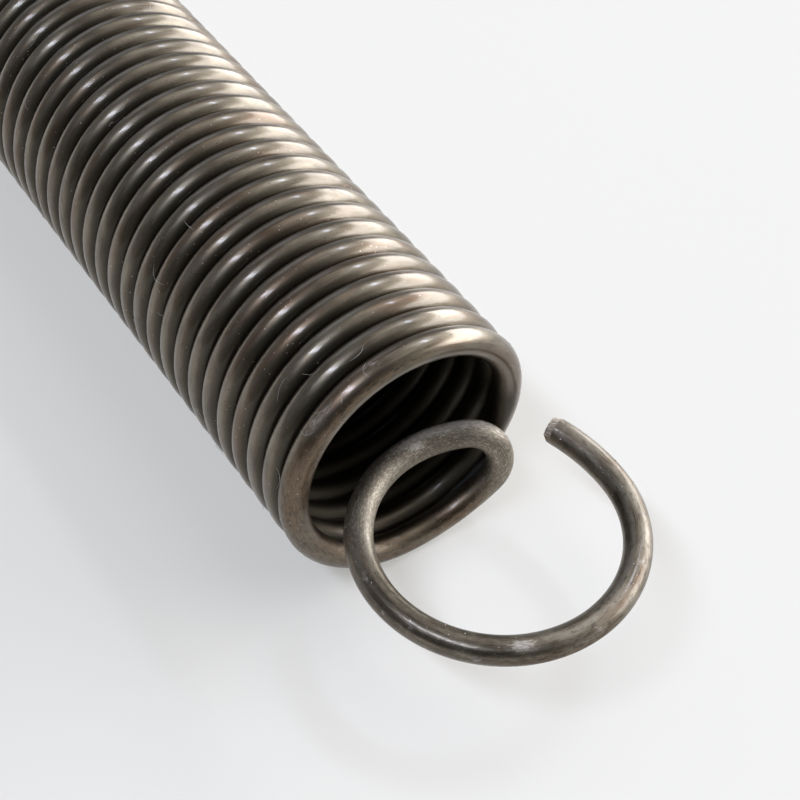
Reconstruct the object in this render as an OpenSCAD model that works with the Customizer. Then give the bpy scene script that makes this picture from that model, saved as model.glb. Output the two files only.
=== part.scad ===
// Close-wound extension spring of round wire, lying on its side with a full loop at each end.
// X runs along the coil's axis and +X is the end that faces out. Z is up. The origin is the
// middle of the coil, on its axis. Millimetres.

/* [Wire] */
// Diameter of the wire
wire_d = 2; // [1.4:0.1:2.4]

/* [Coil] */
// Outside diameter of the coil
coil_od = 20; // [17:0.5:26]
// Whole turns between the lowest points of the first and the last turn
turns = 40; // [10:1:46]
// Gap left between one turn and the next
turn_gap = 0.04; // [0.02:0.02:0.6]
// Depth of the small flat under each turn, on which the coil rests
rest_flat = 0.06; // [0.02:0.01:0.1]

/* [Bend out of the coil] */
// How far the last turn carries on past its lowest point before it bends, in degrees
end_sweep = 46; // [44:1:50]
// How far the last part-turn leans away from its neighbour, in wire diameters
end_lean = 0.55; // [0.5:0.05:1]
// Radius of the tight bend, at the middle of the wire
bend_r = 2.5; // [1.9:0.1:2.8]
// How far the wire then points back into the coil, in degrees
turn_in = 24; // [16:1:25]

/* [Loop] */
// Inside diameter of the loop
loop_id = 16.6; // [15:0.2:20]
// Inside radius of the first part of the loop, where it crosses the coil's mouth
entry_r = 7.8; // [6.4:0.2:9]
// How far the loop keeps that first radius, in degrees
entry_sweep = 90; // [70:1:100]
// How far the full round part of the loop goes, in degrees
loop_sweep = 200; // [120:5:205]
// Inside radius of the flatter tail of the loop
tail_r = 14; // [8:0.5:17]
// How far the tail goes before the cut end, in degrees
tail_sweep = 23; // [4:1:28]

/* [Hidden] */

wire_r = wire_d / 2;
// Radius of the coil at the middle of the wire
mean_r = coil_od / 2 - wire_r;
// Rise of the coil in one turn
pitch = wire_d + turn_gap;
// Half of the coil's length, between the lowest points of its first and last turns
half_body = turns * pitch / 2;
// Slope and radius of a half turn, which climbs half a pitch from one side to the other
half_tilt = atan(pitch / 4 / mean_r);
half_r = mean_r / cos(half_tilt);
// Slope and radius of the last part-turn, which leans outward
end_tilt = atan((pitch / 4 + end_lean * wire_d) / mean_r);
end_r = mean_r / cos(end_tilt);
// Radii of the loop at the middle of the wire
entry_mid_r = entry_r + wire_r;
loop_mid_r = loop_id / 2 + wire_r;
tail_mid_r = tail_r + wire_r;
// Each length of the loop starts this far past the one before, inside a sleeve that is hardly
// wider than the wire and joins the two
seam = 0.05;
sleeve = 0.02;

// A length of bent wire starts at a point, along a heading, and turns toward its centre.
// These give the point, the heading and the way to the centre where it ends.
function end_point(point, heading, inward, radius, sweep) =
    point + radius * ((1 - cos(sweep)) * inward + sin(sweep) * heading);
function end_heading(heading, inward, sweep) = cos(sweep) * heading + sin(sweep) * inward;
function end_inward(heading, inward, sweep) = cos(sweep) * inward - sin(sweep) * heading;

// Last part-turn, from the coil's lowest point
point_0 = [0, 0, 0];
heading_0 = [0, 1, 0];
inward_0 = [sin(end_tilt), 0, cos(end_tilt)];

// Tight bend, from there to a level heading that points back across the coil's mouth
point_1 = end_point(point_0, heading_0, inward_0, end_r, end_sweep);
heading_1 = end_heading(heading_0, inward_0, end_sweep);
level = [-sin(turn_in), -cos(turn_in), 0];
bend_sweep = acos(heading_1 * level);
inward_1 = (level - cos(bend_sweep) * heading_1) / sin(bend_sweep);

// Loop, level from here on: the entry, the full round part and the tail
point_2 = end_point(point_1, heading_1, inward_1, bend_r, bend_sweep);
inward_2 = [cos(turn_in), -sin(turn_in), 0];
point_3 = end_point(point_2, level, inward_2, entry_mid_r, entry_sweep);
heading_3 = end_heading(level, inward_2, entry_sweep);
inward_3 = end_inward(level, inward_2, entry_sweep);
point_4 = end_point(point_3, heading_3, inward_3, loop_mid_r, loop_sweep);
heading_4 = end_heading(heading_3, inward_3, loop_sweep);
inward_4 = end_inward(heading_3, inward_3, loop_sweep);

wire_colour = [0.36, 0.34, 0.31];

// A length of round wire bent to one radius, from the X axis round toward the Y axis
module bent_wire(radius, sweep) {
    rotate_extrude(angle = sweep, $fn = 72)
    translate([radius, 0])
    circle(d = wire_d, $fn = 36);
}

// The same, laid from a point along a heading, with the sleeve that joins it to what comes before
module laid_wire(point, heading, inward, radius, sweep) {
    side = cross(heading, inward);
    skip = seam / radius * 180 / PI;
    multmatrix([
        [-inward[0], heading[0], side[0], point[0]],
        [-inward[1], heading[1], side[1], point[1]],
        [-inward[2], heading[2], side[2], point[2]],
        [0, 0, 0, 1]
    ]) {
        translate([-radius, 0, 0])
        rotate([0, 0, skip])
        bent_wire(radius, sweep - skip);
        rotate([90, 0, 0])
        cylinder(h = 4 * seam, r = wire_r + sleeve, center = true, $fn = 36);
    }
}

// One half turn, from the lowest point up to the highest along +Y, about its own middle.
// Its ends are square to the axis plane, so that it meets the next half turn smoothly.
module half_turn() {
    rotate([0, 90 + half_tilt, 0])
    bent_wire(half_r, 180);
}

// The coil's last part-turn, the bend and the loop, for the +X end
module end_loop() {
    translate([half_body, 0, -mean_r]) {
        laid_wire(point_0, heading_0, inward_0, end_r, end_sweep);
        laid_wire(point_1, heading_1, inward_1, bend_r, bend_sweep);
        laid_wire(point_2, level, inward_2, entry_mid_r, entry_sweep);
        laid_wire(point_3, heading_3, inward_3, loop_mid_r, loop_sweep);
        laid_wire(point_4, heading_4, inward_4, tail_mid_r, tail_sweep);
    }
}

// What is cut away below the coil, to leave the flats
module below_rest() {
    length = 2 * half_body + 4 * wire_d;
    translate([-length / 2, -mean_r / 2, rest_flat - wire_d - coil_od / 2])
    cube([length, mean_r, wire_d]);
}

module spring_wire() {
    color(wire_colour)
    difference() {
        union() {
            for (k = [0 : 2 * turns - 1])
                translate([(k + 0.5) * pitch / 2 - half_body, 0, 0])
                rotate([180 * k, 0, 0])
                half_turn();
            end_loop();
            rotate([0, 0, 180])
            end_loop();
        }
        below_rest();
    }
}

spring_wire();
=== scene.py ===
# %% [markdown]
# # A close-wound extension spring, photographed from very near
#
# The real object is one piece of hard-drawn steel wire: about forty turns wound hard against
# each other, and at each end a full loop that is bent out of the last turn and cut off with
# side cutters. It lies on its side on white board. The solid model comes from CAD and stays as
# it is. This file adds what CAD has no use for: the drawn surface of the wire, the sheared
# tips, the marks of the bending tool, painted shade and highlights, and a little lint and dust.

# %% Load the CAD frame
import math

import bpy
import numpy as np
from mathutils import Matrix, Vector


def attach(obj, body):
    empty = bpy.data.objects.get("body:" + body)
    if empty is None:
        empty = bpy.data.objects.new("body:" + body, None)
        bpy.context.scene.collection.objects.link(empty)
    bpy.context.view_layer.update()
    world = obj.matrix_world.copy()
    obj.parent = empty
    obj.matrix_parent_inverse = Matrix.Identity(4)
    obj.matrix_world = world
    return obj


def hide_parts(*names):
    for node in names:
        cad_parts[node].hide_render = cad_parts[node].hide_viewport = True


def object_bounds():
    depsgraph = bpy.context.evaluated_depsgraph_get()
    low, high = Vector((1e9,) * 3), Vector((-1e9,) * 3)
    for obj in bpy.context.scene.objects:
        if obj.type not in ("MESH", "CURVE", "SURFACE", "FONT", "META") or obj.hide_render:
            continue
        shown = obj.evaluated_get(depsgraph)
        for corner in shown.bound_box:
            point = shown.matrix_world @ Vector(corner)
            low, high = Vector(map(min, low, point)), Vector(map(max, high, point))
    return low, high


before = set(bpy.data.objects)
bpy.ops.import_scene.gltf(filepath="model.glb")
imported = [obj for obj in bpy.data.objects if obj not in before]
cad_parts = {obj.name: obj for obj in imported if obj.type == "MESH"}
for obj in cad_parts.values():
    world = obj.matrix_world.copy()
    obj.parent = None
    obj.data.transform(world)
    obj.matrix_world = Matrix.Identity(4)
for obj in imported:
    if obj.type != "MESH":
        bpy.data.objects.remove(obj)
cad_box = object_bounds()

MM = 0.001
print("CAD box in mm", [[round(c / MM, 2) for c in corner] for corner in cad_box])

# %% [markdown]
# ## The camera first
#
# A camera match can be done by eye or by fitting. Here the lens and the place were fitted to the
# outlines of the wire in the photograph, so they are plain numbers: about 137 mm from the
# middle of the coil, looking down at 48 degrees. The camera is made first, because everything
# else is judged through it.

# %% Place the camera
SIDE = 800  # the photograph is 800 pixels square
FOCAL_PIXELS = 1634.77


def place_camera(position, right, up, forward):
    """A camera whose own X, Y and Z are the picture's right, its up and the way back to the eye."""
    data = bpy.data.cameras.new("camera")
    data.sensor_fit = "HORIZONTAL"
    data.sensor_width = 36.0
    data.lens = data.sensor_width * FOCAL_PIXELS / SIDE
    data.clip_start = 0.005
    data.clip_end = 20.0
    seat = bpy.data.objects.new("camera", data)
    bpy.context.scene.collection.objects.link(seat)
    turn = np.eye(4)
    turn[:3, 0], turn[:3, 1], turn[:3, 2], turn[:3, 3] = right, up, -np.array(forward), position
    seat.matrix_world = Matrix(turn.tolist())
    bpy.context.scene.camera = seat
    return seat


camera = place_camera(
    position=(0.0984405, -0.0405316, 0.0849493),
    right=(0.55121, 0.83424, 0.01448),
    up=(-0.62902, 0.40409, 0.66411),
    forward=(-0.54817, 0.37518, -0.74749),
)
print("lens", round(camera.data.lens, 2), "mm")

# %% [markdown]
# ## The sizes of the spring
#
# These repeat the values of the CAD source, in metres, so that the wire made here lies exactly
# where the solid one does. A spring maker would give the same list: wire, outside diameter,
# number of turns, and the radii that the loop is bent round.

# %% Sizes in metres
WIRE_R = 1.0 * MM  # radius of the wire
COIL_R = 9.0 * MM  # radius of the coil at the middle of the wire
TURNS = 40
PITCH = 2.04 * MM  # wire and a gap of 0.04 mm
END_X = TURNS * PITCH / 2  # where the last whole turn ends
REST_Z = -9.94 * MM  # the underside, with the small flats that the coil rests on
END_LEAN = 1.1 * MM  # how far the last part-turn leans away from its neighbour
END_SWEEP = math.radians(46)
BEND_R = 2.5 * MM  # the tight bend out of the coil
TURN_IN = math.radians(24)  # the wire then points this far back into the coil
ENTRY_R, ENTRY_SWEEP = 8.8 * MM, math.radians(90)
LOOP_R, LOOP_SWEEP = 9.3 * MM, math.radians(200)
TAIL_R, TAIL_SWEEP = 15.0 * MM, math.radians(23)

turn_length = math.hypot(2 * math.pi * COIL_R, PITCH)
print("wire length in the turns, mm", round(TURNS * turn_length / MM))

# %% [markdown]
# ## The line that the wire follows
#
# Extension springs are wound on a mandrel, and then a tool bends each loop out of the last turn.
# So the line is a run of circular arcs, as the tools make it: the coil, a part-turn that leans
# out, a tight bend, and a level loop in three radii. A curve object could be drawn by hand, but
# an arc needs only a point, a heading and the way to its centre, so one small function gives
# them all. It gives the heading and the way to the centre at each step too, for what follows.

# %% Arcs, and arcs laid end to end


def arc(point, heading, inward, radius, sweep, steps):
    """Points on a circle: start + radius * ((1 - cos a) * inward + sin a * heading), for a from
    0 to the sweep. Gives the points, and the heading and the way to the centre at each."""
    a = np.linspace(0.0, sweep, steps + 1)[:, None]
    points = point + radius * ((1 - np.cos(a)) * inward + np.sin(a) * heading)
    turned = np.cos(a) * heading + np.sin(a) * inward
    return points, turned, np.cos(a) * inward - np.sin(a) * heading


def chain(*lengths):
    """Arcs laid end to end, each without its first point, which the one before already has."""
    return [np.vstack([length[k][min(i, 1):] for i, length in enumerate(lengths)])
            for k in range(3)]


to_x, to_y = np.eye(3)[:2]
quarter = arc(np.zeros(3), to_y, to_x, 1.0, math.pi / 2, 4)
print("a quarter of a circle of radius 1 ends at", np.round(quarter[0][-1], 3).tolist())

# %% The loop at the near end


def near_loop():
    """The wire from the coil's last whole turn to the cut end, at the +X end, as five arcs:
    part-turn, tight bend, entry across the coil's mouth, round part, flatter tail."""
    lean = math.atan((PITCH / 4 + END_LEAN) / COIL_R)
    start = np.array([END_X, 0.0, -COIL_R])
    inward = np.array([math.sin(lean), 0.0, math.cos(lean)])
    radius = COIL_R / math.cos(lean)
    part_turn = arc(start, np.array([0.0, 1.0, 0.0]), inward, radius, END_SWEEP, 10)
    point, heading = part_turn[0][-1], part_turn[1][-1]
    level = np.array([-math.sin(TURN_IN), -math.cos(TURN_IN), 0.0])
    bend_sweep = math.acos(heading @ level)
    inward = (level - math.cos(bend_sweep) * heading) / math.sin(bend_sweep)
    bend = arc(point, heading, inward, BEND_R, bend_sweep, 22)
    inward = np.array([math.cos(TURN_IN), -math.sin(TURN_IN), 0.0])
    entry = arc(bend[0][-1], level, inward, ENTRY_R, ENTRY_SWEEP, 30)
    loop = arc(entry[0][-1], entry[1][-1], entry[2][-1], LOOP_R, LOOP_SWEEP, 68)
    tail = arc(loop[0][-1], loop[1][-1], loop[2][-1], TAIL_R, TAIL_SWEEP, 14)
    return chain(part_turn, bend, entry, loop, tail)


near = near_loop()
print("the cut end is at, mm", np.round(near[0][-1] / MM, 2).tolist())

# %% The turns, and the whole line
PER_TURN = 72  # steps in one turn of the coil


def coil_turns():
    """The turns, each made of two half rings that lean opposite ways, as in the CAD source:
    x climbs half a pitch along a sine in each half turn, y = R cos t, z = R sin t."""
    t = np.linspace(-0.5 - 2 * TURNS, -0.5, PER_TURN * TURNS + 1) * math.pi
    half = np.floor(t / math.pi + 0.5 + 1e-9)
    s = t - half * math.pi
    x = END_X + (half + 0.5) * PITCH / 2 + PITCH / 4 * np.sin(s)
    points = np.stack([x, COIL_R * np.cos(t), COIL_R * np.sin(t)], 1)
    heading = np.stack([PITCH / 4 * np.cos(s), -COIL_R * np.sin(t), COIL_R * np.cos(t)], 1)
    heading /= np.linalg.norm(heading, axis=1)[:, None]
    inward = -np.stack([0 * t, np.cos(t), np.sin(t)], 1)
    inward -= (inward * heading).sum(1)[:, None] * heading
    return points, heading, inward / np.linalg.norm(inward, axis=1)[:, None]


# The far end is the near one turned half round about Z, and run through backwards.
HALF_TURN = np.array([-1.0, -1.0, 1.0])
far = [near[0][::-1] * HALF_TURN, -near[1][::-1] * HALF_TURN, near[2][::-1] * HALF_TURN]
points, headings, inwards = chain(far, coil_turns(), near)
step_lengths = np.linalg.norm(np.diff(points, axis=0), axis=1)
print("steps", len(points), "wire length in mm", round(step_lengths.sum() / MM, 1))

# %% [markdown]
# ## A frame that doesn't twist
#
# A drawn wire has fine lines along it, and they don't wind round it. So each ring of the wire
# needs two directions across it that turn with the bend but never twist about the wire. The
# way to the centre isn't enough, because it jumps where one bend gives way to the next. A loop
# could carry a direction from ring to ring. It is quicker to measure the twist between each
# ring and the next for all rings at once, and to take its running sum off again.

# %% Untwisted directions across the wire


def untwisted(heading, inward):
    """Carry each ring's inward direction to the next ring with the smallest turn that takes one
    heading to the other, measure the angle left over, and unwind the sum of those angles."""
    a, b = heading[:-1], heading[1:]
    axis = np.cross(a, b)
    grow = 1.0 / (1.0 + (a * b).sum(1))[:, None]
    v = inward[:-1]
    carried = v + np.cross(axis, v) + np.cross(axis, np.cross(axis, v)) * grow
    across = np.cross(b, inward[1:])
    left = np.arctan2((carried * across).sum(1), (carried * inward[1:]).sum(1))
    angle = np.concatenate([[0.0], np.cumsum(left)])[:, None]
    side = np.cross(heading, inward)
    u = np.cos(angle) * inward + np.sin(angle) * side
    return u, np.cross(heading, u)


ring_u, ring_v = untwisted(headings, inwards)
least_cosine = (ring_u[1:] * ring_u[:-1]).sum(1).min()
print("largest turn from ring to ring, degrees", round(math.degrees(math.acos(least_cosine)), 1))

# %% [markdown]
# ## The wire and its sheared tips
#
# The wire could be a curve object with a bevel, but a grid of rings worked out here has exact
# control of its section. That matters at the tips: side cutters squeeze the wire from above and
# below until it parts. Seen from above that leaves a short flattened bill with a bright, torn
# slope, over a steep end face that is cut back underneath. So toward the tip the upper half of
# the section is pressed down part of the way, and the lower half is pulled up to meet it.

# %% The path, with its tips
TIP_BACK = 0.42 * MM  # the upper slope starts this far before the CAD's cut end
TIP_ON = 0.26 * MM  # and the edge stands this far past it, in the middle of the wire
TIP_LONG = TIP_BACK + TIP_ON
TIP_RINGS = 14


def add_tip(points, heading, u, v):
    """The last ring steps back to where the slopes start, and more rings go straight on."""
    start = points[-1] - TIP_BACK * heading[-1]
    step = np.linspace(0.0, TIP_LONG, TIP_RINGS + 1)[:, None]
    more = start + step * heading[-1]
    repeat = np.ones((TIP_RINGS + 1, 1))
    added = (more, repeat * heading[-1], repeat * u[-1], repeat * v[-1])
    return [np.vstack([old[:-1], new]) for old, new in zip((points, heading, u, v), added)]


# The far tip is added to the path run backwards, where the heading and v point the other way.
BACKWARDS = (1, -1, 1, -1)
path = add_tip(points, headings, ring_u, ring_v)
path = add_tip(*[part[::-1] * sign for part, sign in zip(path, BACKWARDS)])
centres, heads, us, vs = [part[::-1] * sign for part, sign in zip(path, BACKWARDS)]
run = np.concatenate([[0.0], np.cumsum(np.linalg.norm(np.diff(centres, axis=0), axis=1))])
TOTAL = run[-1]
from_end = np.minimum(run, TOTAL - run)
to_edge = np.clip(from_end / TIP_LONG, 0.0, 1.0)  # 0 at the edge, 1 where the slopes start
count = len(centres)
print("rings", count, "length from tip to tip in mm", round(TOTAL / MM, 1))

# %% The rings
SIDES = 28  # corners of the wire's section
TIP_SKEW = 0.12 * MM  # the edge is further on at the inner side of the loop, less at the outer
TIP_FLAT = 0.60  # what is left of the upper half's height at the edge
TIP_PULL = 0.42  # share of the tip's length within which the lower half comes up
TIP_EDGE = 0.18 * WIRE_R  # height of the edge over the middle of the wire
TIP_NARROW = 0.08  # how much narrower the wire is at the edge
GAP_CLOSED = 0.022  # the turns are this much wider along the axis, so that they touch
COIL_FROM, COIL_SOFT = 74 * MM, 8 * MM  # run from the tips at which that starts, and its ease
angles = np.linspace(0.0, 2 * math.pi, SIDES + 1)[:-1]


def bump_between(x, low, high, soft):
    """1 between low and high, falling to 0 over the soft length on each side."""
    return np.clip((x - low) / soft + 1, 0, 1) * np.clip((high - x) / soft + 1, 0, 1)


def sheared_tips(offset, left, forward):
    """The height above the middle is scaled down toward the edge, the height below is drawn up
    to the edge within a short length, and the rings lean, so that the edge runs askew across
    the wire. The share left to the edge is 1 where the slopes start and 0 at the edge."""
    # The hub's direction is level, square to the wire, toward the middle of the loop.
    hub = np.stack([forward[:, 1], -forward[:, 0], 0 * forward[:, 0]], 1)
    across = (offset * hub[:, None]).sum(2) / WIRE_R
    height = offset[..., 2]
    pulled = np.clip(left / TIP_PULL, 0, 1)
    above = height * (TIP_FLAT + (1 - TIP_FLAT) * left)
    edge = TIP_EDGE * (1 - pulled)
    offset[..., 2] = np.where(height > 0, np.maximum(above, edge), height * pulled + edge)
    offset[..., :2] *= (1 - TIP_NARROW + TIP_NARROW * np.sqrt(left))[..., None]
    return offset + forward[:, None] * ((1 - left) * TIP_SKEW * across)[..., None]


def wire_rings():
    """Ring + radius * (cos a * u + sin a * v), with sheared tips, turns that touch, and flats
    underneath. Nothing reaches past the CAD's box."""
    offset = WIRE_R * (np.cos(angles)[None, :, None] * us[:, None]
                       + np.sin(angles)[None, :, None] * vs[:, None])
    tip = to_edge < 1.0
    forward = heads[tip] * np.where(run[tip] > TOTAL / 2, 1.0, -1.0)[:, None]
    offset[tip] = sheared_tips(offset[tip], to_edge[tip][:, None], forward)
    coil = bump_between(from_end, COIL_FROM, TOTAL, COIL_SOFT)
    offset[..., 0] *= 1 + GAP_CLOSED * coil[:, None]
    rings = np.clip(centres[:, None] + offset, *np.array(cad_box))
    rings[..., 2] = np.maximum(rings[..., 2], REST_Z)
    return rings


rings = wire_rings()
heights = rings[..., 2] / MM
print("lowest and highest point in mm", round(heights.min(), 3), round(heights.max(), 3))

# %% The wire's mesh


def grid_faces(rows, columns):
    """Quads between each ring and the next, closed round the section, facing outwards."""
    i, j = np.meshgrid(np.arange(rows - 1), np.arange(columns), indexing="ij")
    k = (j + 1) % columns
    corners = [i * columns + j, (i + 1) * columns + j, (i + 1) * columns + k, i * columns + k]
    return np.stack(corners, -1).reshape(-1, 4)


def new_mesh(name, vertices, quads, triangles=np.zeros((0, 3), int)):
    """A mesh from whole arrays of vertices, quads and triangles."""
    mesh = bpy.data.meshes.new(name)
    corners = np.concatenate([quads.ravel(), triangles.ravel()])
    counts = np.concatenate([np.full(len(quads), 4), np.full(len(triangles), 3)])
    mesh.vertices.add(len(vertices))
    mesh.vertices.foreach_set("co", np.asarray(vertices, np.float32).ravel())
    mesh.loops.add(len(corners))
    mesh.loops.foreach_set("vertex_index", corners.astype(np.int32))
    mesh.polygons.add(len(counts))
    mesh.polygons.foreach_set("loop_start", (np.cumsum(counts) - counts).astype(np.int32))
    mesh.update(calc_edges=True)
    mesh.validate()
    mesh.shade_smooth()
    piece = bpy.data.objects.new(name, mesh)
    bpy.context.scene.collection.objects.link(piece)
    return piece


# Each cut end is closed by a fan of triangles round the middle of its last ring.
vertices = np.vstack([rings.reshape(-1, 3), rings[0].mean(0), rings[-1].mean(0)])
quads = grid_faces(count, SIDES)
j, next_j, last_ring = np.arange(SIDES), (np.arange(SIDES) + 1) % SIDES, (count - 1) * SIDES
caps = np.vstack([
    np.stack([np.full(SIDES, count * SIDES), j, next_j], 1),
    np.stack([np.full(SIDES, count * SIDES + 1), last_ring + next_j, last_ring + j], 1),
])
wire = new_mesh("drawn_wire", vertices, quads, caps)
wire.data.set_sharp_from_angle(angle=math.radians(28))
print("wire: vertices", len(vertices), "triangles", 2 * len(quads) + len(caps))

# %% [markdown]
# ## Coordinates of the straight wire
#
# The draw lines, pits and stains were made while the wire was still straight. Each vertex keeps
# its place on that straight wire as an attribute: how far along, and the two directions across.
# A pattern read from it follows the wire round every turn, with no seam. A UV map would have a
# seam along the wire.

# %% Straight places


def keep(piece, name, kind, values):
    """Write one value or vector per vertex into a named attribute."""
    made = piece.data.attributes.new(name, kind, "POINT")
    field = "vector" if kind == "FLOAT_VECTOR" else "value"
    made.data.foreach_set(field, np.asarray(values, np.float32).ravel())


def straight_places():
    """x is the run along the wire, y and z are the section: radius * cos a, radius * sin a."""
    a = np.broadcast_to(angles, (count, SIDES))
    s = np.broadcast_to(run[:, None], (count, SIDES))
    flat = np.stack([s, WIRE_R * np.cos(a), WIRE_R * np.sin(a)], -1).reshape(-1, 3)
    ends = np.array([[run[0], 0, 0], [run[-1], 0, 0]])
    return np.vstack([flat, ends])


keep(wire, "straight", "FLOAT_VECTOR", straight_places())
print("attributes of the wire", [a.name for a in wire.data.attributes if not a.is_internal])

# %% [markdown]
# ## Where the wire is worn and dirty, and where shade and highlights are painted
#
# The bending tool has rubbed the loop and the bend, and gripped the wire hardest behind the
# bend. Dry dirt and a reddish bloom lie where the photograph shows them, a stretch of the loop is
# made darker, and the hook has painted highlights. All this could be painted by hand. Here each
# kind of wear, and each painted shade and highlight, is an attribute, worked out from the run
# along the wire and the angle round it, so it can be read and changed. The run is counted back
# from the tip: the loop is the first 41 mm, then comes the bend, and the coil starts at about 57
# mm.

# %% Wear along the wire: handled, scuffed, and a stretch made darker
GRIPPED = (41 * MM, 56 * MM)  # what the bending tool held hardest
RUBBED = (0 * MM, 54 * MM)  # all that it rubbed
BLACKENED = (26 * MM, 35 * MM)  # the loop's wire on the left in the photograph
# Run back from the near tip in mm, degrees round the wire, length in mm, width in degrees.
SCRAPES = (
    (24.5, 15, 1.1, 34), (49.4, -25, 1.0, 26), (46.0, -20, 2.2, 40), (28.0, 60, 0.5, 14),
    (87.0, 20, 1.3, 25),
)


def keep_wear(name, values, at_ends=0.0):
    """Keep a number for each vertex of the wire, given for each ring or for each of its corners.
    The middles of the two cut ends get the last value."""
    each = np.broadcast_to(values if values.ndim == 2 else values[:, None], (count, SIDES))
    keep(wire, name, "FLOAT", np.append(each.ravel(), [at_ends, at_ends]))


def mark(run_back, degrees, length, width):
    """One mark at the near end: 1 in the middle, fading over its length along the wire and its
    width round it."""
    d_run = np.abs(TOTAL - run - run_back * MM)[:, None] / (length * MM)
    d_turn = np.abs((angles - math.radians(degrees) + math.pi) % (2 * math.pi) - math.pi)
    return np.clip(1.6 - np.hypot(d_run, d_turn[None, :] / math.radians(width)) * 1.6, 0, 1)


handled = bump_between(from_end, *RUBBED, 5 * MM)
handled -= 0.85 * bump_between(from_end, 27 * MM, 35 * MM, 5 * MM)
keep_wear("handled", handled, at_ends=1.0)
scuff = 0.85 * bump_between(from_end, *GRIPPED, 4 * MM)[:, None]
for scrape in SCRAPES:
    scuff = np.maximum(scuff, mark(*scrape))
keep_wear("scuff", scuff)
keep_wear("darkened_loop", bump_between(from_end, *BLACKENED, 4 * MM))
print("scuffed share of the wire", round(float((scuff > 0.5).mean()), 3))

# %% Marks that the photograph shows: chalky dirt, painted highlights on the hook, and reddish bloom
SMEARS_AND_HIGHLIGHTS = (  # strength, and then as for the scrapes; the second and third are painted highlights on the hook
    (0.80, 24.6, 12, 1.0, 30), (1.00, 48.5, -30, 0.8, 30), (0.85, 50.8, 5, 6.0, 45),
)
SPECKS = (  # small chalky spots: run back in mm and degrees
    (31.5, 40), (33.5, 62), (36.0, 30), (27.2, 74), (19.6, 50), (14.0, 20), (88.9, 12), (91.5, 30),
)
BLOOMS = (  # as for the scrapes
    (21.5, 84, 5.5, 34), (90.5, -40, 7.0, 30), (83.0, -66, 5.0, 26), (50.5, -60, 3.0, 30),
    (36.0, -70, 3.0, 30),
)
chalk_and_highlight = np.zeros((count, SIDES))
for strength, *where in SMEARS_AND_HIGHLIGHTS + tuple((0.55, *speck, 0.45, 20) for speck in SPECKS):
    chalk_and_highlight = np.maximum(chalk_and_highlight, strength * mark(*where))
keep_wear("chalk_and_highlight", chalk_and_highlight)
# The turns at the front are reddish all round.
rusted = 0.60 * bump_between(from_end, 57 * MM, 82 * MM, 6 * MM)[:, None]
for bloom in BLOOMS:
    rusted = np.maximum(rusted, mark(*bloom))
keep_wear("rusted", rusted)
print("chalky share", round(float((chalk_and_highlight > 0.5).mean()), 4),
      "reddish share", round(float((rusted > 0.5).mean()), 3))

# %% Painted shade in the grooves between the turns
section = rings - centres[:, None]
sideways = section[..., 0] / WIRE_R  # 1 on the flank that faces +X, -1 on the other
# Painted shade, more on the +X flank. The first and last turn's outer flank has no neighbour.
groove_shade = np.clip((sideways - 0.25) / 0.50, 0, 1)
groove_shade = np.maximum(groove_shade, np.clip((-sideways - 0.65) / 0.30, 0, 1))
groove_shade *= bump_between(from_end, 66 * MM, TOTAL, 4 * MM)[:, None]
groove_shade *= np.clip((5 * MM - rings[..., 1]) / (7 * MM), 0.25, 1)  # the painted shade is least on the +Y side, which faces the window
end_turn = np.abs(centres[:, :1]) > END_X - 0.9 * PITCH
groove_shade[(sideways * np.sign(centres[:, :1]) > 0) & end_turn] = 0.0
keep_wear("groove_shade", groove_shade)
print("share of the vertices in the grooves", round(float((groove_shade > 0.5).mean()), 2))

# %% Painted shade inside the coil, and the bare cut
to_axis = -centres * np.array([0.0, 1.0, 1.0])
to_axis /= np.linalg.norm(to_axis, axis=1)[:, None]
facing = (section * to_axis[:, None]).sum(2) / WIRE_R  # 1 on the side toward the coil's axis
# Painted shade from 4 mm inside the mouth, and all the way out on the side below the bend.
depth = np.clip((END_X - 0.3 * MM - np.abs(centres[:, 0])) / (4.0 * MM), 0, 1)
below_bend = np.clip((np.sign(centres[:, 0]) * centres[:, 1] - 1.5 * MM) / (2.5 * MM), 0, 1)
below_bend *= np.clip((3 * MM - centres[:, 2]) / (3 * MM), 0, 1)
below_bend *= np.clip((from_end - 64 * MM) / (3 * MM), 0, 1)
inside = np.clip(facing / 0.5 + 0.6, 0, 1) * np.maximum(depth, below_bend)[:, None]
keep_wear("inside", inside)
sheared = (to_edge < 0.97)[:, None] & (section[..., 2] > 0.12 * MM)
keep_wear("sheared", sheared.astype(float))
print("share of the vertices inside the coil", round(float((inside > 0.5).mean()), 2),
      "vertices on the sheared slopes", int(sheared.sum()))

# %% [markdown]
# ## Materials: small helpers
#
# Colours are written as sRGB hex, as a paint chart gives them, and one function turns them
# linear. One more function adds a node with its settings and links. Materials could be built by
# hand in the node editor, but written out they can be read from top to bottom.

# %% Helpers for materials


def linear(hex_colour):
    """sRGB to linear: c / 12.92 up to 0.04045, else ((c + 0.055) / 1.055) to the power 2.4."""
    c = np.array([int(hex_colour[i:i + 2], 16) / 255 for i in (1, 3, 5)])
    c = np.where(c <= 0.04045, c / 12.92, ((c + 0.055) / 1.055) ** 2.4)
    return (*[float(v) for v in c], 1.0)


def new_material(name):
    """An empty node tree with one Principled shader on the output."""
    material = bpy.data.materials.new(name)
    material.use_nodes = True
    tree = material.node_tree
    tree.nodes.clear()
    output = tree.nodes.new("ShaderNodeOutputMaterial")
    shader = tree.nodes.new("ShaderNodeBsdfPrincipled")
    tree.links.new(shader.outputs["BSDF"], output.inputs["Surface"])
    return material, tree, shader


def node(tree, kind, settings=(), **inputs):
    """Add a node, set its properties, and set or link its inputs. An input's name may be its
    number, written as i0, i1 and so on."""
    made = tree.nodes.new(kind)
    for key, value in dict(settings).items():
        setattr(made, key, value)
    for key, value in inputs.items():
        numbered = key[0] == "i" and key[1:].isdigit()
        socket = made.inputs[int(key[1:]) if numbered else key.replace("_", " ")]
        if isinstance(value, bpy.types.NodeSocket):
            tree.links.new(value, socket)
        else:
            socket.default_value = value
    return made


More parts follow.
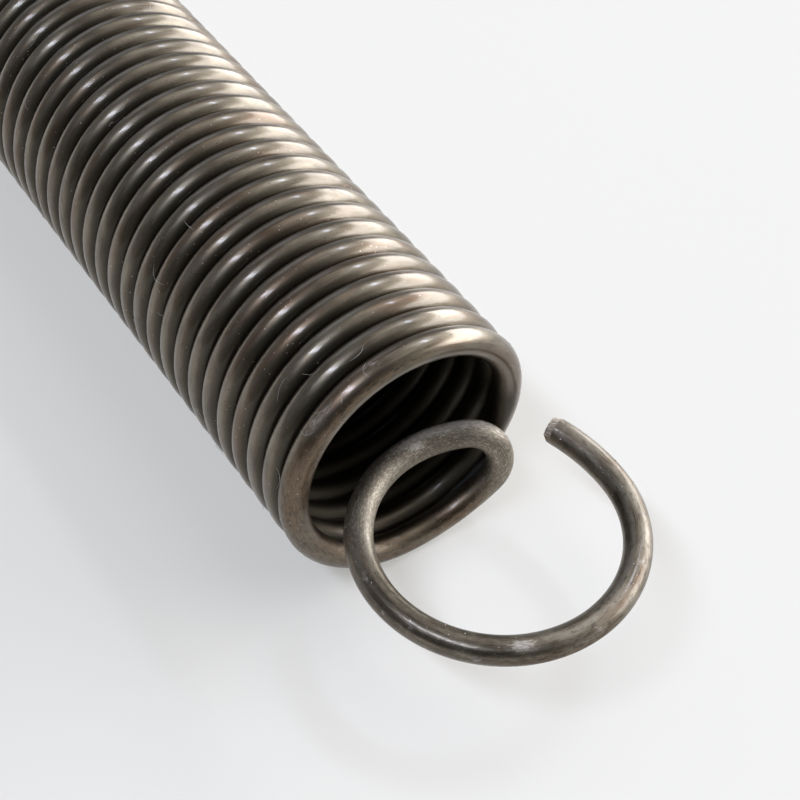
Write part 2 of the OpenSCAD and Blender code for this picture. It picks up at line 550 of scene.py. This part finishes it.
TIMES = {"operation": "MULTIPLY"}
TIMES_AND_ADD = {"operation": "MULTIPLY_ADD"}
PLUS = {"operation": "ADD"}
COLOURS = {"data_type": "RGBA"}  # for a Mix node: input 0 is the share, 6 and 7 the colours
print("a middle grey of #808080 is", round(linear("#808080")[0], 3), "in linear light")

# %% [markdown]
# ## Hard-drawn spring wire
#
# Spring wire is patented and drawn cold through dies. It isn't bright: a thin dark film of
# oxide and drawing soap is left on it, warm brown-grey, with fine lines along it. The metal
# gives broad, soft, brownish highlights, and the clear film over it sharp and colourless ones,
# so the material is a dark metal under a coat. An image of real wire would be simpler, but
# noise in the straight wire's coordinates has no seam and keeps its scale. All scales come from
# real sizes: draw lines 0.07 mm apart and some millimetres long, and stains of 1 to 7 mm.

# %% The material, and the attributes that it reads
steel, tree, shader = new_material("hard_drawn_spring_wire")
place = node(tree, "ShaderNodeAttribute", {"attribute_name": "straight"}).outputs["Vector"]
worn, inside_shade_fac, cut, bent, chalk_and_highlight_fac, shaded_groove, red, darkened_loop_fac = [
    node(tree, "ShaderNodeAttribute", {"attribute_name": name}).outputs["Fac"]
    for name in ("scuff", "inside", "sheared", "handled", "chalk_and_highlight", "groove_shade", "rusted", "darkened_loop")]
print("the wire's material reads", [n.attribute_name for n in tree.nodes if n.type == "ATTRIBUTE"])

# %% Clouded patterns
PATTERNS = {  # length along the wire in mm, width across it, detail and roughness of the noise
    "draw lines": (3.0, 0.07, 3.0, 0.6),
    "clouds: thick and thin places of the oxide film": (2.4, 0.8, 4.0, 0.55),
    "stains: reddish patches": (7.0, 1.6, 5.0, 0.6),
    "grain: the fine unevenness that breaks up every highlight": (0.09, 0.05, 3.0, 0.65),
    "scrapes: torn patches where a tool has pressed": (0.30, 0.10, 5.0, 0.7),
    "mottles: small blotches of dried soap": (0.60, 0.25, 4.0, 0.65),
}
drawn = []
for length, width, detail, rough in PATTERNS.values():
    per_metre = (1 / (length * MM), 1 / (width * MM), 1 / (width * MM))
    at = node(tree, "ShaderNodeVectorMath", TIMES, i0=place, i1=per_metre).outputs[0]
    drawn.append(node(tree, "ShaderNodeTexNoise", Vector=at, Scale=1.0, Detail=detail,
                      Roughness=rough).outputs[0])
lines, clouds, stains, grain, scrapes, mottles = drawn
print("clouded patterns", len(drawn))

# %% Dots: pits and flecks
# Spacing along and across in mm, a dot's full part and its edge as shares of the spacing, the
# pattern in whose strong places the dots swarm, the values there at which a swarm starts and is
# full, and how much of each dot shows outside the swarms.
DOTS = (
    (0.38, 0.26, 0.08, 0.18, clouds, 0.50, 0.62, 0.1),  # pits: dark, 0.04 to 0.08 mm
    (0.46, 0.34, 0.06, 0.12, stains, 0.48, 0.58, 0.0),  # flecks: bright, 0.04 mm
)
dotted = []
for length, width, full, edge, swarms_in, start, whole, least in DOTS:
    per_metre = (1 / (length * MM), 1 / (width * MM), 1 / (width * MM))
    at = node(tree, "ShaderNodeVectorMath", TIMES, i0=place, i1=per_metre).outputs[0]
    away = node(tree, "ShaderNodeTexVoronoi", Vector=at, Scale=1.0).outputs["Distance"]
    dot = node(tree, "ShaderNodeMapRange", Value=away, From_Min=full, From_Max=edge,
               To_Min=1.0, To_Max=0.0).outputs[0]
    swarm = node(tree, "ShaderNodeMapRange", Value=swarms_in, From_Min=start, From_Max=whole,
                 To_Min=least).outputs[0]
    dotted.append(node(tree, "ShaderNodeMath", TIMES, i0=dot, i1=swarm).outputs[0])
pit, fleck = dotted
print("kinds of dots", len(dotted))

# %% [markdown]
# ## Colour, from the film down to the dirt on it
#
# The colour is built up as a painter glazes: a ground, and then thin layers, each with a
# pattern that says how much of it shows and an attribute that says where on the wire it lies.
# One colour per zone would look painted on. The pattern gives each layer a broken edge.

# %% Layers of colour: the film, and what the bending tool did to it
EVERYWHERE = 1.0
UNBROKEN = 1.0
FILM = (  # pattern, its values where the layer starts and is full, least, most, where, colour
    (lines, 0.40, 0.72, 0.0, 1.0, EVERYWHERE, "#776F62"),  # pale draw lines
    (stains, 0.50, 0.66, 0.0, 0.8, EVERYWHERE, "#675342"),  # reddish stains
    (mottles, 0.36, 0.60, 0.0, 1.0, red, "#6F5E4C"),  # reddish bloom on the front turns
    (mottles, 0.52, 0.40, 0.0, 0.8, red, "#3B352D"),  # and the dark film left between it
    (UNBROKEN, 0.0, 1.0, 0.0, 1.0, shaded_groove, "#3E392F"),  # painted shade in the grooves between the turns
    (clouds, 0.40, 0.64, 0.0, 0.6, bent, "#8A8377"),  # film rubbed thin
    (mottles, 0.48, 0.36, 0.0, 0.55, bent, "#3A352E"),  # dried soap that stayed on it
    (mottles, 0.62, 0.42, 0.15, 0.65, darkened_loop_fac, "#443F37"),  # a stretch of the loop made darker
    (lines, 0.54, 0.72, 0.0, 0.45, bent, "#A39B91"),  # bare draw lines
    (UNBROKEN, 0.0, 1.0, 0.0, 0.7, worn, "#8D8678"),  # the grip's even polish
    (scrapes, 0.48, 0.64, 0.0, 1.0, worn, "#C2B9AB"),  # and its torn patches
)
share = node(tree, "ShaderNodeMapRange", Value=clouds, From_Min=0.38, From_Max=0.62).outputs[0]
tone = node(tree, "ShaderNodeMix", COLOURS, i0=share, i6=linear("#5A5144"),
            i7=linear("#7F7665")).outputs[2]
for pattern, start, full, least, most, where, colour in FILM:
    share = node(tree, "ShaderNodeMapRange", Value=pattern, From_Min=start, From_Max=full,
                 To_Min=least, To_Max=most).outputs[0]
    share = node(tree, "ShaderNodeMath", TIMES, i0=share, i1=where).outputs[0]
    tone = node(tree, "ShaderNodeMix", COLOURS, i0=share, i6=tone, i7=linear(colour)).outputs[2]
print("layers of colour", 1 + len(FILM))

# %% Colour of flecks, pits, painted shade inside the coil, chalky smears, painted highlights, and the cut
for share, colour in ((fleck, "#B6AEA2"), (pit, "#332F29"), (inside_shade_fac, "#4A453C")):
    tone = node(tree, "ShaderNodeMix", COLOURS, i0=share, i6=tone, i7=linear(colour)).outputs[2]
# Chalky smears: pale dry dirt with torn edges, and on the hook painted highlights of the same pale
# colour.
smear_and_highlight = node(tree, "ShaderNodeMath", TIMES_AND_ADD, i0=chalk_and_highlight_fac, i1=0.55, i2=scrapes).outputs[0]
smear_and_highlight = node(tree, "ShaderNodeMapRange", Value=smear_and_highlight, From_Min=0.64, From_Max=1.04,
             To_Max=0.66).outputs[0]
tone = node(tree, "ShaderNodeMix", COLOURS, i0=smear_and_highlight, i6=tone, i7=linear("#CFC9C1")).outputs[2]
# The cut: bare, torn steel.
share = node(tree, "ShaderNodeMapRange", Value=scrapes, From_Min=0.40, From_Max=0.60).outputs[0]
torn = node(tree, "ShaderNodeMix", COLOURS, i0=share, i6=linear("#9C8A77"),
            i7=linear("#F8F1E4")).outputs[2]
tone = node(tree, "ShaderNodeMix", COLOURS, i0=cut, i6=tone, i7=torn).outputs[2]
tree.links.new(tone, shader.inputs["Base Color"])
print("colours mixed", sum(n.type == "MIX" for n in tree.nodes))

# %% [markdown]
# ## Gloss and relief
#
# The metal is satin, and the film over it is clear and glossy where nothing has touched it.
# Rubbing and dirt make the metal rougher and the film thinner, so each attribute adds to the
# one and takes from the other. Draw lines under a thousandth of a millimetre deep are only
# seen as a fine grain in the highlights, so a bump is enough and the mesh stays smooth.

# %% Gloss: the metal and the clear film over it
dull = node(tree, "ShaderNodeMapRange", Value=lines, From_Min=0.3, From_Max=0.7, To_Min=0.30,
            To_Max=0.40).outputs[0]
for where, more in ((bent, 0.12), (worn, 0.14), (cut, 0.14), (inside_shade_fac, 0.18), (shaded_groove, 0.14),
                    (red, 0.10), (smear_and_highlight, 0.25)):
    dull = node(tree, "ShaderNodeMath", TIMES_AND_ADD, i0=where, i1=more, i2=dull).outputs[0]
tree.links.new(dull, shader.inputs["Roughness"])
# Dirt isn't metal, so the smears and the painted highlights turn most of the metal off.
metal = node(tree, "ShaderNodeMath", TIMES_AND_ADD, i0=smear_and_highlight, i1=-0.8, i2=1.0).outputs[0]
tree.links.new(metal, shader.inputs["Metallic"])
film = node(tree, "ShaderNodeMapRange", Value=clouds, From_Min=0.3, From_Max=0.7, To_Min=0.50,
            To_Max=0.68).outputs[0]
for where, less in ((bent, -0.28), (darkened_loop_fac, -0.14), (red, -0.34), (worn, -0.22), (inside_shade_fac, -0.40),
                    (shaded_groove, -0.24)):
    film = node(tree, "ShaderNodeMath", TIMES_AND_ADD, i0=where, i1=less, i2=film).outputs[0]
tree.links.new(film, shader.inputs["Coat Weight"])
shader.inputs["Coat Roughness"].default_value = 0.125
shader.inputs["Coat IOR"].default_value = 1.5
print("shader inputs linked", [s.name for s in shader.inputs if s.is_linked])

# %% Relief, and the finished wire
RELIEF = 0.012 * MM  # how far the bump reaches at full strength
relief = node(tree, "ShaderNodeMath", PLUS, i0=lines, i1=grain).outputs[0]
pressed = node(tree, "ShaderNodeMath", TIMES, i0=scrapes, i1=worn).outputs[0]
relief = node(tree, "ShaderNodeMath", PLUS, i0=relief, i1=pressed).outputs[0]
relief = node(tree, "ShaderNodeMath", TIMES_AND_ADD, i0=pit, i1=-1.2, i2=relief).outputs[0]
strength = 0.14
for where, more in ((bent, 0.12), (worn, 0.16), (cut, 0.5)):
    strength = node(tree, "ShaderNodeMath", TIMES_AND_ADD, i0=where, i1=more,
                    i2=strength).outputs[0]
bump = node(tree, "ShaderNodeBump", Strength=strength, Distance=RELIEF, Height=relief)
tree.links.new(bump.outputs["Normal"], shader.inputs["Normal"])

wire.data.materials.append(steel)
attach(wire, "root")
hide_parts("spring_wire")
print("material", wire.data.materials[0].name, "nodes", len(tree.nodes))

# %% [markdown]
# ## Painted shade in the last gap: a dark filler
#
# The last part-turn leans away from its neighbour, and the wedge between them is in deep shade.
# A near-black filler stands in for that shade: from the front it is what makes the gap beside
# the bend look black and closed. It could be sculpted, but a tube carried along the gap, thick
# in the middle and thin at its ends, with a little unevenness, is all that can be seen of it.

# %% The fillets of painted shade
FILLET_POINTS, FILLET_SIDES = 60, 14
FILLET_R = 0.34 * MM  # its thickest radius
FILLET_OUT = 0.16 * MM  # how far its middle stands out from the turn's flank


def tube(line, radius, sides):
    """Rings round a line of points: point + radius * (cos a * side + sin a * up), where side and
    up are square to the line. Works on many lines at once, of the same number of points."""
    along = np.gradient(line, axis=-2)
    along /= np.linalg.norm(along, axis=-1, keepdims=True)
    side = np.cross(along, [0.31, 0.52, 0.80])
    side /= np.linalg.norm(side, axis=-1, keepdims=True)
    up = np.cross(along, side)
    a = np.linspace(0.0, 2 * math.pi, sides + 1)[:-1]
    return line[..., None, :] + radius[..., None, None] * (
        np.cos(a)[:, None] * side[..., None, :] + np.sin(a)[:, None] * up[..., None, :])


def gap_shade_fillet(turn):
    """Along the side of the last whole turn, from 14 to 64 degrees past its lowest point. The
    radius swells and shrinks as the root of a sine, with a few small waves on it."""
    t = np.radians(np.linspace(14.0, 64.0, FILLET_POINTS))
    share = np.linspace(0.0, 1.0, FILLET_POINTS)
    radius = FILLET_R * np.sqrt(np.sin(math.pi * np.clip(share, 0.004, 0.996)))
    radius *= 1 + 0.10 * np.sin(23 * share) + 0.06 * np.sin(61 * share + 1)
    x = END_X - PITCH * (0.75 + 0.25 * np.cos(t)) + WIRE_R + FILLET_OUT
    line = np.stack([x, COIL_R * np.sin(t), -COIL_R * np.cos(t)], 1) * turn
    return tube(line, radius, FILLET_SIDES).reshape(-1, 3)


def dark_gap_shade():
    """A dull, almost black crust of painted shade, with crumbs of 0.18 mm."""
    material, tree, shader = new_material("painted_gap_shade")
    place = node(tree, "ShaderNodeTexCoord").outputs["Object"]
    crumbs = node(tree, "ShaderNodeTexNoise", Vector=place, Scale=1 / (0.18 * MM),
                  Detail=4.0).outputs[0]
    colour = node(tree, "ShaderNodeMix", COLOURS, i0=crumbs, i6=linear("#151412"),
                  i7=linear("#2B2823")).outputs[2]
    tree.links.new(colour, shader.inputs["Base Color"])
    shader.inputs["Roughness"].default_value = 0.75
    bump = node(tree, "ShaderNodeBump", Strength=0.6, Distance=0.03 * MM, Height=crumbs)
    tree.links.new(bump.outputs["Normal"], shader.inputs["Normal"])
    return material


fillets = np.vstack([gap_shade_fillet(turn) for turn in (np.ones(3), HALF_TURN)])
fillet_quads = grid_faces(FILLET_POINTS, FILLET_SIDES)
fillet_quads = np.vstack([fillet_quads, fillet_quads + FILLET_POINTS * FILLET_SIDES])
gap_shade_piece = new_mesh("painted_shade_in_the_gap", fillets, fillet_quads)
gap_shade_piece.data.materials.append(dark_gap_shade())
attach(gap_shade_piece, "root")
print("soap fillets: faces", len(fillet_quads))

# %% [markdown]
# ## Lint and dust
#
# From ten centimetres away the wire shows what has settled on it: pale cotton fibres about
# 0.02 mm thick that bridge from turn to turn, and grains of dust. Fibres thinner than a third
# of a pixel vanish, so they are drawn a little over 0.02 mm thick. They could be hair
# particles, but a short bent tube on the outside of the coil is a plain mesh with few faces.
# Each grain is a squashed ball of eight faces pressed onto the wire. Where the photograph shows
# one, its place is written down. The rest are scattered by a seeded generator, so that every
# run gives the same ones.

# %% Fibres of lint
FIBRE_POINTS, FIBRE_SIDES = 18, 5
FIBRE_R = 0.012 * MM
TOP_Z = 9.97 * MM  # lint and dust stay under the CAD box's top
SCATTERED_FIBRES = 46
SEEN_FIBRES = np.array([  # x in mm, angle about the axis, length in mm, direction, bend
    [38.6, 106.0, 1.5, 70, 0.9], [39.9, 109.0, 1.1, 20, -1.2], [40.0, 128.5, 1.6, 100, 1.0],
    [40.6, 38.0, 1.0, 80, 1.3], [40.3, 121.0, 1.0, 50, -0.8], [37.4, 124.0, 1.3, 120, 1.1],
    [40.2, 140.0, 1.2, 140, 1.5], [39.8, 163.0, 1.4, 60, 1.6]])
chance = np.random.default_rng(7)


def lint_fibres():
    """Each fibre is a line u from -1 to 1 that bends as u squared, laid on the coil's outside
    by its x and its angle about the axis: y = R cos, z = R sin, with R a little over the coil."""
    n = SCATTERED_FIBRES
    more = np.stack([
        chance.uniform(-40, 37, n),
        np.concatenate([chance.uniform(101, 250, 30), chance.uniform(-70, 78, n - 30)]),
        chance.uniform(0.6, 1.9, n),
        chance.uniform(0, 180, n),
        chance.uniform(-1.6, 1.6, n)], 1)
    x, turn, length, way, bend = np.vstack([SEEN_FIBRES, more]).T[:, :, None]
    u = np.linspace(-1.0, 1.0, FIBRE_POINTS)[None]
    way = np.radians(way)
    there, aside = u * length / 2, bend * (u ** 2) * length / 5 + 0.02 * np.sin(4 * u + x)
    step_x = (there * np.cos(way) - aside * np.sin(way)) * MM
    step_turn = (there * np.sin(way) + aside * np.cos(way)) * MM / (COIL_R + WIRE_R)
    radius = COIL_R + WIRE_R + (0.01 + 0.05 * (1 - np.cos(2.2 * u + bend))) * MM
    angle = np.radians(turn) + step_turn
    line = np.stack([x * MM + step_x, radius * np.cos(angle), radius * np.sin(angle)], -1)
    line[..., 2] = np.clip(line[..., 2], REST_Z + 0.1 * MM, TOP_Z)
    thick = np.full(line.shape[:2], FIBRE_R) * np.sqrt(np.clip(1.02 - u ** 2, 0.02, 1))
    return tube(line, thick, FIBRE_SIDES)


def cotton():
    """Cotton: pale and rough, and fuzzy at its edges, here by sheen. Its tone drifts over
    0.8 mm."""
    material, tree, shader = new_material("cotton_lint")
    place = node(tree, "ShaderNodeTexCoord").outputs["Object"]
    shift = node(tree, "ShaderNodeTexNoise", Vector=place, Scale=1 / (0.8 * MM),
                 Detail=2.0).outputs[0]
    colour = node(tree, "ShaderNodeMix", COLOURS, i0=shift, i6=linear("#8E8A82"),
                  i7=linear("#C4C0B8")).outputs[2]
    tree.links.new(colour, shader.inputs["Base Color"])
    shader.inputs["Roughness"].default_value = 0.8
    shader.inputs["Sheen Weight"].default_value = 0.3
    return material


fibres = lint_fibres()
first_corners = FIBRE_POINTS * FIBRE_SIDES * np.arange(len(fibres))
fibre_quads = (grid_faces(FIBRE_POINTS, FIBRE_SIDES) + first_corners[:, None, None]).reshape(-1, 4)
lint = new_mesh("lint", fibres.reshape(-1, 3), fibre_quads)
lint.data.materials.append(cotton())
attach(lint, "root")
print("fibres", len(fibres), "faces", len(fibre_quads))

# %% Grains of dust
SEEN_GRAINS = np.array([  # run back from the near tip in mm, and degrees round the wire
    [26.9, 33], [25.9, 68], [23.0, 97], [22.1, 74], [60.6, -91], [52.1, -67], [202.5, -64],
    [90.1, 36], [104.3, -60], [31.0, 10], [19.0, 60]])
BALL = np.array([[1, 0, 0], [-1, 0, 0], [0, 1, 0], [0, -1, 0], [0, 0, 1], [0, 0, -1]], float)
BALL_FACES = np.array([[0, 2, 4], [2, 1, 4], [1, 3, 4], [3, 0, 4],
                       [2, 0, 5], [1, 2, 5], [3, 1, 5], [0, 3, 5]])
TRIED, TRIED_ON_LOOP = 900, 160  # places tried on the whole wire, and on the near loop as well
LOOP_RUN = 56 * MM  # the loop is this long


def dust_grains():
    """An eight-sided ball, six corners, stretched unevenly for each grain and set on the wire's
    surface: centre of the wire + radius * direction outward. Dust settles only where the wire
    faces away from the coil's axis, and on the loops where it faces up."""
    index = np.searchsorted(run - TOTAL, -SEEN_GRAINS[:, 0] * MM).clip(0, count - 1)
    a = np.radians(SEEN_GRAINS[:, 1])
    way = np.cos(a)[:, None] * us[index] + np.sin(a)[:, None] * vs[index]
    scattered = chance.integers(6, count - 6, TRIED)
    scattered = np.append(scattered, count - chance.integers(8, 150, TRIED_ON_LOOP))
    a = chance.uniform(0, 2 * math.pi, len(scattered))
    out = np.cos(a)[:, None] * us[scattered] + np.sin(a)[:, None] * vs[scattered]
    away = centres[scattered] * np.array([0.0, 1.0, 1.0])
    away /= np.linalg.norm(away, axis=1)[:, None]
    away[from_end[scattered] < LOOP_RUN] = [0.0, 0.0, 1.0]
    fair = (out * away).sum(1) > 0.35
    index, way = np.append(index, scattered[fair]), np.vstack([way, out[fair]])
    small = chance.uniform(0.014, 0.040, int(fair.sum()))
    small[from_end[scattered[fair]] < 40 * MM] += 0.022  # coarser on the loops
    size = np.append(np.full(len(SEEN_GRAINS), 0.050), small) * MM
    shape = BALL[None] * chance.uniform(0.5, 1.25, (len(size), 6, 1))
    shape += chance.normal(0, 0.18, (len(size), 6, 3))
    middle = centres[index] + (WIRE_R + 0.2 * size[:, None]) * way
    middle[:, 2] = np.clip(middle[:, 2], REST_Z + 2 * size, 9.98 * MM - 1.6 * size)
    return middle[:, None] + size[:, None, None] * shape


def house_dust():
    """Mineral and paper dust: matt, pale grey grains, some of them brown."""
    material, tree, shader = new_material("house_dust")
    place = node(tree, "ShaderNodeTexCoord").outputs["Object"]
    shift = node(tree, "ShaderNodeTexNoise", Vector=place, Scale=1 / (0.5 * MM),
                 Detail=0.0).outputs[0]
    pick = node(tree, "ShaderNodeMapRange", Value=shift, From_Min=0.42, From_Max=0.58).outputs[0]
    colour = node(tree, "ShaderNodeMix", COLOURS, i0=pick, i6=linear("#8D7F6E"),
                  i7=linear("#D9D5CC")).outputs[2]
    tree.links.new(colour, shader.inputs["Base Color"])
    shader.inputs["Roughness"].default_value = 0.85
    return material


grains = dust_grains()
grain_faces = (BALL_FACES[None] + 6 * np.arange(len(grains))[:, None, None]).reshape(-1, 3)
dust = new_mesh("dust", grains.reshape(-1, 3), np.zeros((0, 4), int), grain_faces)
dust.data.shade_flat()
dust.data.materials.append(house_dust())
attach(dust, "root")
print("grains", len(grains), "triangles", len(grain_faces))

# %% [markdown]
# ## White board to lie on
#
# The spring lies on plain white board, which is matt and faintly uneven. A plane with a very
# slight change of tone is enough. It isn't part of the object. Where the camera or a
# mirror-like surface looks at it, part of what it shows is a plain pale tone that needs no
# light, and further off all of it. That keeps it white without more light on the spring,
# softens the shadows as the many lamps of a real room do, and hides the floor's edge.

# %% The floor
BACKGROUND = "#F0F0EE"
FLOOR_HALF = 4.0  # half of its side, in metres
PLAIN_FROM, PLAIN_TO = 0.22, 0.60  # metres from the middle over which the plain tone takes over
PLAIN_NEAR = 0.40  # its share near the spring


def white_board():
    """A flat square, 8 m wide, at the height that the coil rests on."""
    corners = [[x * FLOOR_HALF, y * FLOOR_HALF, REST_Z]
               for x, y in ((-1, -1), (1, -1), (1, 1), (-1, 1))]
    board = new_mesh("white_board", np.array(corners), np.array([[0, 1, 2, 3]]))
    material, tree, shader = new_material("matt_white_board")
    place = node(tree, "ShaderNodeTexCoord").outputs["Object"]
    patch = node(tree, "ShaderNodeTexNoise", Vector=place, Scale=1 / (30 * MM),
                 Detail=2.0).outputs[0]
    colour = node(tree, "ShaderNodeMix", COLOURS, i0=patch, i6=linear("#E9E6DF"),
                  i7=linear("#EBE8E1")).outputs[2]
    tree.links.new(colour, shader.inputs["Base Color"])
    shader.inputs["Roughness"].default_value = 0.9
    shader.inputs["Specular IOR Level"].default_value = 0.0
    path = node(tree, "ShaderNodeLightPath").outputs
    looked_at = node(tree, "ShaderNodeMath", {"operation": "MAXIMUM"},
                     i0=path["Is Camera Ray"], i1=path["Is Glossy Ray"]).outputs[0]
    away = node(tree, "ShaderNodeVectorMath", {"operation": "LENGTH"}, i0=place).outputs["Value"]
    plain = node(tree, "ShaderNodeMapRange", Value=away, From_Min=PLAIN_FROM, From_Max=PLAIN_TO,
                 To_Min=PLAIN_NEAR, To_Max=1.0).outputs[0]
    share = node(tree, "ShaderNodeMath", TIMES, i0=looked_at, i1=plain).outputs[0]
    pale = node(tree, "ShaderNodeEmission", Color=linear(BACKGROUND), Strength=1.0).outputs[0]
    mixed = node(tree, "ShaderNodeMixShader", i0=share, i1=shader.outputs[0], i2=pale).outputs[0]
    output = next(n for n in tree.nodes if n.type == "OUTPUT_MATERIAL")
    tree.links.new(mixed, output.inputs["Surface"])
    board.data.materials.append(material)
    return board


floor = white_board()
print("floor", floor.name, "at", round(REST_Z / MM, 2), "mm")

# %% [markdown]
# ## Light
#
# A round metal wire is a mirror of the whole room, so the lamps are placed where the photograph
# shows them mirrored. A wide window stands low behind, on the +Y side, and gives every turn its
# broad cream highlight. A ceiling lamp leaning to -Y gives the row of short white streaks, and a
# long one on the +Y side the fainter bluish streaks. The room itself is dim, slightly cool, and
# darkest on the photographer's side, which is what leaves one flank of every turn dark.
# An image of a real room could light it too, but soft panels are easier to read and move.

# %% Lamps
LAMPS = (  # name, middle in metres, width and height, brightness of the face, colour
    ("window", (0.22, 2.00, 0.58), (3.40, 1.04), 7.7, "#F7F7FB"),
    ("ceiling_bounce", (0.0, 0.55, 1.05), (1.5, 0.9), 0.9, "#FFF9F2"),
    ("long_ceiling_lamp", (-0.12, 0.72, 0.96), (0.36, 0.07), 28.0, "#D8E5FF"),
    ("ceiling_lamp", (0.10, -0.52, 0.98), (0.66, 0.11), 25.0, "#E0E9FF"),
    ("far_window", (-1.00, 0.10, 0.55), (0.6, 0.5), 0.6, "#CFDDF5"),
)


def panel(name, middle, size, brightness, colour):
    """An area lamp whose face has the given brightness: power = brightness * pi * area. It
    faces the origin."""
    data = bpy.data.lights.new(name, "AREA")
    data.shape = "RECTANGLE"
    data.size, data.size_y = size
    data.energy = brightness * math.pi * size[0] * size[1]
    data.color = linear(colour)[:3]
    lamp = bpy.data.objects.new(name, data)
    bpy.context.scene.collection.objects.link(lamp)
    back = np.array(middle, float) / np.linalg.norm(middle)
    side = np.cross([0.0, 0.0, 1.0], back)
    side /= np.linalg.norm(side)
    turn = np.eye(4)
    turn[:3, 0], turn[:3, 1], turn[:3, 2], turn[:3, 3] = side, np.cross(back, side), back, middle
    lamp.matrix_world = Matrix(turn.tolist())
    lamp.visible_camera = False
    return lamp


lamps = [panel(*lamp) for lamp in LAMPS]
print("lamps", [lamp.name for lamp in lamps])

# %% The room
DARK_SIDE = (0.78, -0.55, 0.30)  # toward the side that the picture was taken from
ROOM_LIGHT, ROOM_DARK = 0.32, 0.09  # how bright the room is, and how bright on that side

room = bpy.data.worlds.new("room")
bpy.context.scene.world = room
room.use_nodes = True
tree = room.node_tree
tree.nodes.clear()
seen = node(tree, "ShaderNodeLightPath").outputs["Is Camera Ray"]
way = node(tree, "ShaderNodeTexCoord").outputs["Generated"]
toward = node(tree, "ShaderNodeVectorMath", {"operation": "DOT_PRODUCT"}, i0=way,
              i1=DARK_SIDE).outputs["Value"]
level = node(tree, "ShaderNodeMapRange", Value=toward, From_Min=0.05, From_Max=0.75,
             To_Min=ROOM_LIGHT, To_Max=ROOM_DARK).outputs[0]
dim = node(tree, "ShaderNodeBackground", Color=linear("#F2F5FA"), Strength=level).outputs[0]
white = node(tree, "ShaderNodeBackground", Color=linear(BACKGROUND), Strength=1.0).outputs[0]
mixed = node(tree, "ShaderNodeMixShader", i0=seen, i1=dim, i2=white).outputs[0]
node(tree, "ShaderNodeOutputWorld", Surface=mixed)
bpy.context.scene.view_settings.view_transform = "Standard"
print("view transform", bpy.context.scene.view_settings.view_transform)
